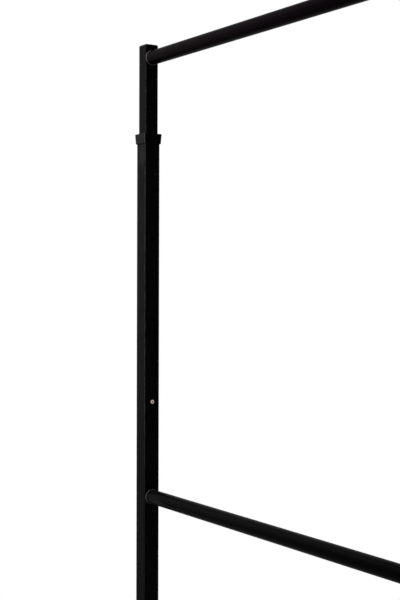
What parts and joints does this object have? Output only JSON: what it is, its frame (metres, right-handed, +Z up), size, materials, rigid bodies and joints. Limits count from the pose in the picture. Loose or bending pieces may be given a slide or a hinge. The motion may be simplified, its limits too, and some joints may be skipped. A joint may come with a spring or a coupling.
{
  "type": "kimono stand",
  "caption": "Free-standing kimono display frame: telescoping square uprights with snap-button locks, round top and lower bars, and T-shaped feet.",
  "frame": {"origin": "on the floor, midway between the two uprights and midway from front to back", "axes": "+X along the bars from the left upright to the right one, +Y to the back, +Z up"},
  "size_m": [1.5414, 0.48, 1.4992],
  "materials": {
    "painted_steel": "semi-matt black powder coat",
    "black_plastic": "moulded black nylon",
    "black_rubber": "matt black rubber",
    "zinc_steel": "zinc plated",
    "bright_steel": "turned and plated steel"
  },
  "bodies": {
    "lower_frame": {"left_foot_bar": "painted_steel", "right_foot_bar": "painted_steel", "left_foot_spigot": "painted_steel", "right_foot_spigot": "painted_steel", "left_foot_end_caps": "black_plastic", "right_foot_end_caps": "black_plastic", "left_foot_glides": "black_rubber", "right_foot_glides": "black_rubber", "left_outer_post": "painted_steel", "right_outer_post": "painted_steel", "left_collar": "black_plastic", "right_collar": "black_plastic", "lower_bar": "painted_steel", "lower_bar_left_plug": "painted_steel", "lower_bar_right_plug": "painted_steel", "lower_bar_bolts": "zinc_steel", "lower_bar_washers": "zinc_steel", "foot_screws": "zinc_steel", "foot_washers": "zinc_steel", "foot_nuts": "zinc_steel"},
    "upper_frame": {"left_inner_post": "painted_steel", "right_inner_post": "painted_steel", "left_top_cap": "black_plastic", "right_top_cap": "black_plastic", "left_guide_plug": "black_plastic", "right_guide_plug": "black_plastic", "top_bar": "painted_steel", "top_bar_left_plug": "painted_steel", "top_bar_right_plug": "painted_steel", "top_bar_bolts": "zinc_steel", "top_bar_washers": "zinc_steel", "left_button_spring": "bright_steel", "right_button_spring": "bright_steel"},
    "left_snap_button": {"left_button": "bright_steel"},
    "right_snap_button": {"right_button": "bright_steel"}
  },
  "joints": [
    {"name": "height_slide", "type": "slide", "parent": "lower_frame", "child": "upper_frame", "axis": [0, 0, 1], "range_m": [0, 0.399], "deforming": ["left_button", "right_button", "left_button_spring", "right_button_spring"]},
    {"name": "left_button_press", "type": "slide", "parent": "upper_frame", "child": "left_snap_button", "axis": [-1, 0, 0], "range_m": [0, 0.0035], "stiffness_N_per_m": 1200, "springref_m": -0.005, "deforming": ["left_button_spring"]},
    {"name": "right_button_press", "type": "slide", "parent": "upper_frame", "child": "right_snap_button", "axis": [1, 0, 0], "range_m": [0, 0.0035], "stiffness_N_per_m": 1200, "springref_m": -0.005, "deforming": ["right_button_spring"]}
  ]
}
